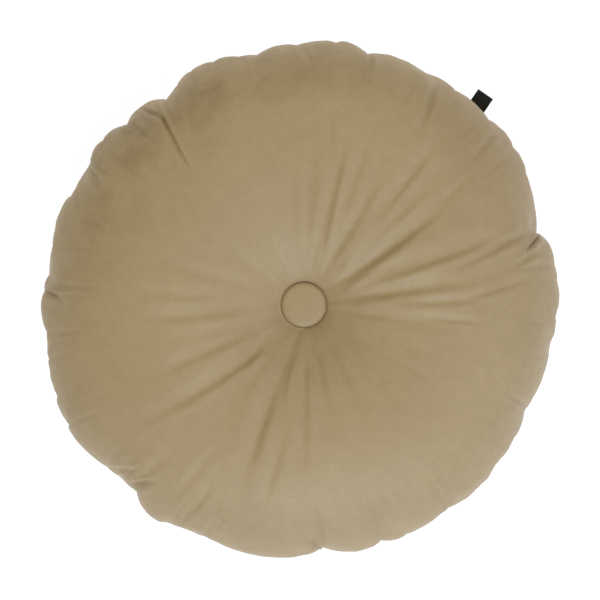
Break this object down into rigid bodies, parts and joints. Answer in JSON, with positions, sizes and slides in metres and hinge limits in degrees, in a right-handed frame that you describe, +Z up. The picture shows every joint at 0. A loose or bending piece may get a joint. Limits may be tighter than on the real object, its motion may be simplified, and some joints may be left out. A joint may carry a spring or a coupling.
{
  "type": "round cushion",
  "caption": "Round filled velvet cushion with a gathered edge seam, tufted through its middle by a covered button on each side, with a small folded tab in the seam.",
  "frame": {"origin": "centre of the cushion's outline seen from above, at the plane it rests on", "axes": "+Z up through the cushion, from its back to its face; +Y towards the top of the face"},
  "size_m": [0.3998, 0.3986, 0.1153],
  "materials": {
    "velvet": "short-pile velvet, beige, with a soft sheen and brushed patches",
    "button_velvet": "the same velvet stretched over a button form",
    "tab_tape": "black woven tape, satin face"
  },
  "bodies": {
    "root": {"cushion_body": "velvet", "face_button": "button_velvet", "back_button": "button_velvet", "edge_tab": "tab_tape"}
  },
  "joints": []
}
